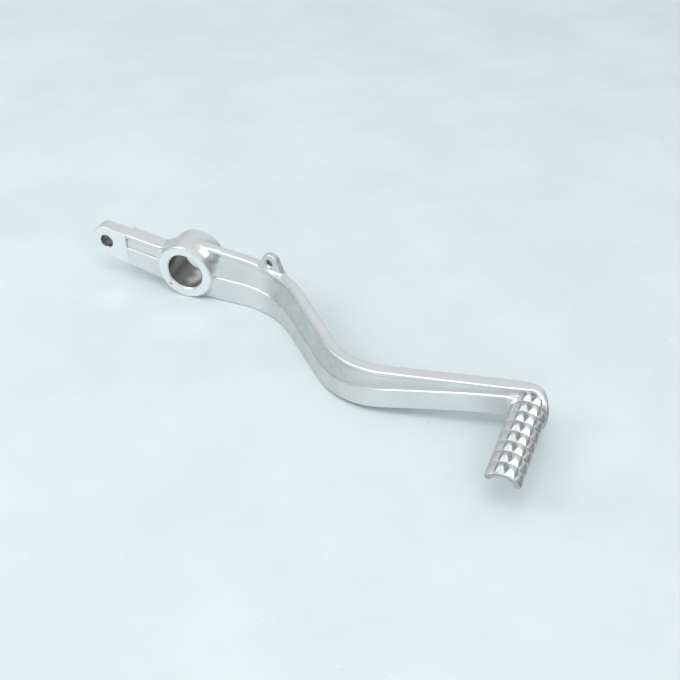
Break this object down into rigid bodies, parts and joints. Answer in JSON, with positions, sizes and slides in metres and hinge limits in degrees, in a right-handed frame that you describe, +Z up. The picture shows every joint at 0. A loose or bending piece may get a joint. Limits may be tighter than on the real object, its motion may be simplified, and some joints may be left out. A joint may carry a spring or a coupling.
{
  "type": "rear brake pedal",
  "caption": "Forged motorbike rear brake pedal: pivot hub, clevis eye behind it, S-bent arm with a spring ear, and a serrated foot tread at the tip.",
  "frame": {"origin": "middle of the pivot bore's axis, halfway along the hub", "axes": "+Y along the pivot bore toward the motorbike's frame, -Y outboard where the tread points, +X forward along the arm, +Z up"},
  "size_m": [0.2281, 0.0938, 0.0309],
  "materials": {
    "pedal": "satin, polished forging"
  },
  "bodies": {
    "root": {"brake_pedal": "pedal"}
  },
  "joints": []
}
